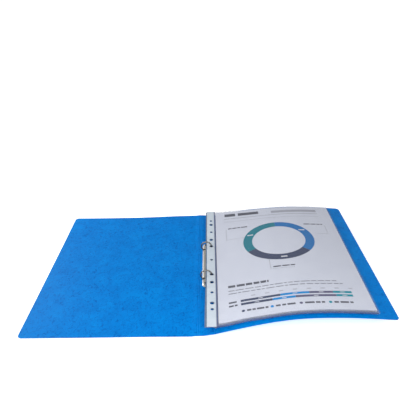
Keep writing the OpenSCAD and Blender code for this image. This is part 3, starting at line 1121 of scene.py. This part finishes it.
def ring_points(hand, side):
    """Points round the wire, at each place along a half ring."""
    path, radii = ring_path()
    verts = []
    for i, (px, pz) in enumerate(path):
        a, b = path[max(0, i - 1)], path[min(len(path) - 1, i + 1)]
        along = Vector((b[0] - a[0], b[1] - a[1])).normalized()
        for s in range(WIRE_SIDES):
            angle = 2 * math.pi * s / WIRE_SIDES
            reach = radii[i] * math.cos(angle)
            x, y = hand * (px + along.y * reach), side * RING_Y + radii[i] * math.sin(angle)
            verts.append((x, y, pz - along.x * reach))
    return verts


def build_half_ring(name, hand, side, body):
    """Half a ring: round wire from the stake in its plate, up and round to a slightly rounded tip."""
    verts = ring_points(hand, side)
    last = len(verts) - WIRE_SIDES
    faces = []
    for base in range(0, last, WIRE_SIDES):
        for s in range(WIRE_SIDES):
            t = (s + 1) % WIRE_SIDES
            faces.append((base + s, base + t, base + WIRE_SIDES + t, base + WIRE_SIDES + s))
    faces.append(tuple(range(WIRE_SIDES))[::-1])
    faces.append(tuple(range(last, len(verts))))
    if hand < 0:
        faces = [face[::-1] for face in faces]
    ring = make_object(f"wire_{name}", verts, faces, [SHADED_RING_NICKEL], sharp_deg=60)
    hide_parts(name)
    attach(ring, body)


def build_mechanism():
    """The housing, the rivets and the rings. The hinge plates keep their CAD shape."""
    build_housing()
    build_rivet("foot_rivet", -1)
    build_rivet("head_rivet", 1)
    for end, side in (("foot", -1), ("head", 1)):
        build_half_ring(f"{end}_ring_left", -1, side, "left_rings")
        build_half_ring(f"{end}_ring_right", 1, side, "right_rings")
    for name in ("left_hinge_plate", "right_hinge_plate"):
        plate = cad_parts[name]
        for slot in plate.material_slots:
            slot.material = PLATE_STEEL


build_board()
for k in range(POCKETS):
    build_film(k)
    build_sheet(k)
    build_strip(k)
build_print()
build_mechanism()


# ---------------- floor, light and camera
WALL_LIGHT = 0.96
SHOULDER_LIGHT = 0.30
ZENITH_LIGHT = 0.48
FLOOR_GLOW = 0.50
FLOOR_HALF = 9000
FLOOR_Z = -0.02
FILM_LAYERS = 32


def build_floor():
    """A wide, pale, matt floor just below the binder, with a glow of its own."""
    material, tree, shader = new_material("pale_floor")
    shade = noise_node(tree, coordinates(tree), 0.004, 2, 0.5)
    tint(tree, shader, shade, (0.955, 0.955, 0.955), (0.97, 0.97, 0.97))
    set_inputs(shader, Roughness=0.9, Specular_IOR_Level=0.1, Emission_Color=(1.0, 1.0, 1.0, 1),
               Emission_Strength=FLOOR_GLOW)
    signs = ((-1, -1), (1, -1), (1, 1), (-1, 1))
    corners = [(sx * FLOOR_HALF, sy * FLOOR_HALF, FLOOR_Z) for sx, sy in signs]
    floor = make_object("floor", corners, [(0, 1, 2, 3)], [material])


def aim(obj, place, target):
    """Puts a light in the scene, shining from place towards target. Both are in metres."""
    obj.location = place
    obj.rotation_euler = (Vector(target) - Vector(place)).to_track_quat("-Z", "Y").to_euler()
    bpy.context.scene.collection.objects.link(obj)


def area_light(name, place, target, size, energy):
    """A flat lamp of a width and a height in metres."""
    light = bpy.data.lights.new(name, "AREA")
    light.shape = "RECTANGLE"
    light.size, light.size_y = size
    light.energy = energy
    aim(bpy.data.objects.new(name, light), place, target)


def build_light():
    """A pale studio: white walls, a softly lit ceiling, a broad key light and two small fill lights."""
    world = bpy.data.worlds.new("studio")
    world.use_nodes = True
    tree = world.node_tree
    place = tree.nodes.new("ShaderNodeTexCoord")
    split = tree.nodes.new("ShaderNodeSeparateXYZ")
    tree.links.new(place.outputs["Generated"], split.inputs[0])
    levels = [(0.0, WALL_LIGHT), (0.22, WALL_LIGHT), (0.40, SHOULDER_LIGHT), (1.0, ZENITH_LIGHT)]
    greys = [(height, (level, level, level)) for height, level in levels]
    colour = ramp(tree, split.outputs["Z"], greys)
    tree.links.new(colour, tree.nodes["Background"].inputs["Color"])
    bpy.context.scene.world = world
    key = bpy.data.lights.new("key_light", "SUN")
    key.energy = 0.5
    key.angle = math.radians(50)
    aim(bpy.data.objects.new("key_light", key), (-0.9, -0.8, 1.5), (0, 0, 0))
    area_light("front_glow", (0.06, -0.50, 0.32), (0.10, -0.14, 0), (0.6, 0.3), 2.1)
    area_light("left_glow", (-0.72, 0.46, 0.40), (-0.28, 0.14, 0), (0.5, 0.3), 3.8)


FOCAL_MM = 39.57
CAMERA_PLACE = (8.83, -613.36, 445.95)
PITCH = math.radians(28.82)
YAW = math.radians(-0.43)
ROLL = math.radians(-1.0)
SENSOR_MM = 36


def build_camera():
    """A camera at the photograph's viewing angle."""
    camera = bpy.data.cameras.new("camera")
    camera.lens = FOCAL_MM
    camera.sensor_width = SENSOR_MM
    camera.clip_end = 100
    obj = bpy.data.objects.new("camera", camera)
    bpy.context.scene.collection.objects.link(obj)
    level = math.cos(PITCH)
    forward = Vector((math.sin(YAW) * level, math.cos(YAW) * level, -math.sin(PITCH)))
    right = Vector((math.cos(YAW), -math.sin(YAW), 0))
    up = right.cross(forward)
    tilted_right = right * math.cos(ROLL) + up * math.sin(ROLL)
    tilted_up = up * math.cos(ROLL) - right * math.sin(ROLL)
    turn = Matrix((tilted_right, tilted_up, -forward)).transposed().to_4x4()
    obj.matrix_world = Matrix.Translation([v * MM for v in CAMERA_PLACE]) @ turn
    bpy.context.scene.camera = obj


build_floor()
build_light()
build_camera()
bpy.context.scene.view_settings.view_transform = "Standard"
bpy.context.scene.cycles.transparent_max_bounces = FILM_LAYERS
